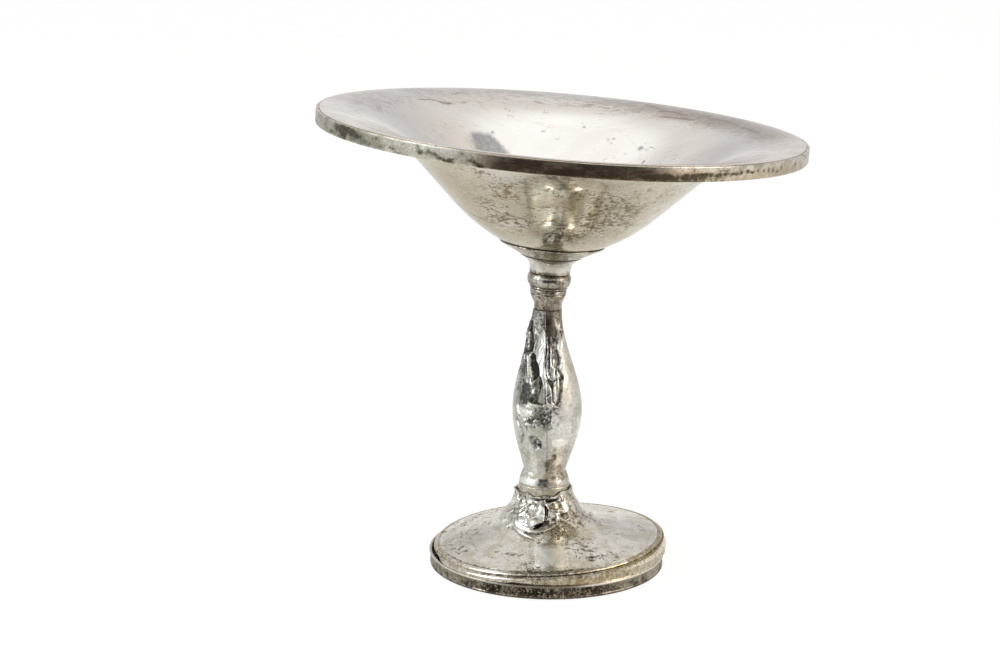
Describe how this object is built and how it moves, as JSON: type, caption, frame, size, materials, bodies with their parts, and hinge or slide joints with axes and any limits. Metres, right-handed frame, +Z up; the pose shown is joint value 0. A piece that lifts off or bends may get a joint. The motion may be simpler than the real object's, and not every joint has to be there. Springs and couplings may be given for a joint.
{
  "type": "compote dish",
  "caption": "Footed serving dish of tarnished silver: a wide shallow bowl with a banded brim on a crushed baluster stem and a weighted round foot, leaning to one side.",
  "frame": {"origin": "middle of the felt's underside, on the surface the dish stands on", "axes": "+Z up, +X to the right of the picture, which is the way the bowl leans; the pictured front faces -Y"},
  "size_m": [0.1519, 0.1516, 0.1474],
  "materials": {
    "silver": "old polish with yellow-grey tarnish and fine dark specks",
    "band_silver": "mottled olive-brown tarnish with a bright upper edge",
    "dark_silver": "dark speckled tarnish between two brighter lips",
    "steel": "plain drawn steel",
    "brass": "plain turned brass",
    "cement": "rough cast cement",
    "felt": "matte felt"
  },
  "bodies": {
    "root": {"bowl": "silver", "rim_band": "band_silver", "bowl_boss": "silver", "neck_knop": "silver", "neck_ferrule": "silver", "stem_shell": "silver", "stem_collar": "silver", "foot_cover": "silver", "base_ring": "dark_silver", "tie_rod": "steel", "boss_nut": "brass", "stem_fill": "cement", "foot_weight": "cement", "rod_washer": "steel", "rod_nut": "steel", "felt_pad": "felt"}
  },
  "joints": []
}
